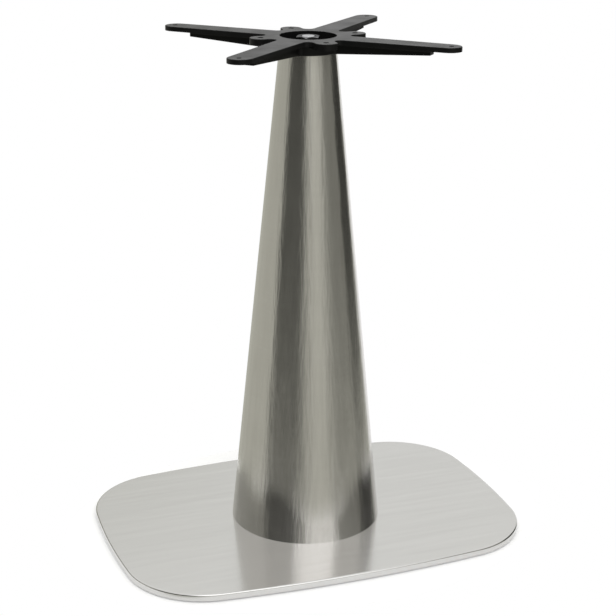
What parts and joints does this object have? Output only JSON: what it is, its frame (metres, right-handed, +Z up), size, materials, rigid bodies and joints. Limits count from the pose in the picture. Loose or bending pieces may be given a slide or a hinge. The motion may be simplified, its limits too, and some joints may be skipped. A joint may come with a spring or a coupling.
{
  "type": "table base",
  "caption": "Pedestal table base: brushed stainless cone on a flat bow-sided foot, topped by a black cast spider whose arms and lugs take table top screws.",
  "frame": {"origin": "on the floor, under the cone's axis", "axes": "+X along the foot's long side, +Y across the foot, +Z up along the cone's axis"},
  "size_m": [0.6, 0.42, 0.72],
  "materials": {
    "spider_coat": "satin",
    "cone_steel": "satin",
    "cover_steel": "satin",
    "ballast_iron": "matte",
    "plain_steel": "satin",
    "zinc_steel": "satin",
    "glide_plastic": "matte"
  },
  "bodies": {
    "root": {"top_spider": "spider_coat", "column_cone": "cone_steel", "base_cover": "cover_steel", "ballast_plate": "ballast_iron", "locating_disc": "plain_steel", "tie_rod": "zinc_steel", "upper_nut": "zinc_steel", "upper_washer": "zinc_steel", "lower_nut": "zinc_steel", "lower_washer": "zinc_steel", "glide_front_left": "glide_plastic", "glide_front_right": "glide_plastic", "glide_rear_left": "glide_plastic", "glide_rear_right": "glide_plastic"}
  },
  "joints": []
}
